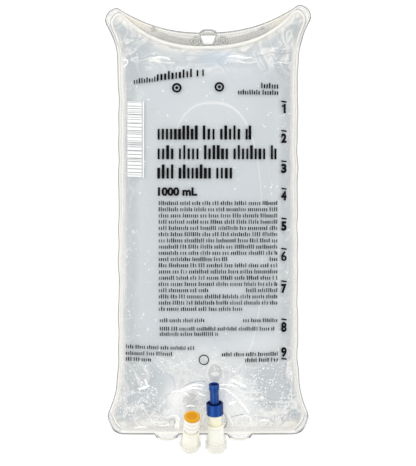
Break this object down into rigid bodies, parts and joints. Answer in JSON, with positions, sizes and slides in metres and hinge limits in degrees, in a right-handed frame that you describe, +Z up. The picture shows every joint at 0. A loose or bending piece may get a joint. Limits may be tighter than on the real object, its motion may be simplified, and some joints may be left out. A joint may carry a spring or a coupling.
{
  "type": "intravenous fluid bag",
  "caption": "Filled clear infusion bag lying on its back, with a slotted hanger flap, a capped rubber injection port and a spike port under a pull-off protector.",
  "frame": {"origin": "on the floor under the middle of the bag's box", "axes": "+Y along the bag towards its hanger slot, +Z up out of its printed front, +X to the right as the print is read"},
  "size_m": [0.1366, 0.2972, 0.0485],
  "materials": {
    "film": "clear flexible PVC film, glossy",
    "solution": "clear watery solution",
    "port_tube": "milky translucent PVC tube",
    "protector": "blue moulded plastic, satin",
    "bushing": "white moulded plastic",
    "septum": "amber rubber, matt"
  },
  "bodies": {
    "bag": {"front_film": "film", "back_film": "film", "solution_fill": "solution", "administration_port_tube": "port_tube", "medication_port_tube": "port_tube", "membrane_tube": "port_tube", "septum_bushing": "bushing", "injection_septum": "septum"},
    "protector": {"port_protector": "protector"}
  },
  "joints": [
    {"name": "protector_pull", "type": "slide", "parent": "bag", "child": "protector", "axis": [-0.0349, 0.913, 0.4065], "range_m": [0, 0.035]}
  ]
}
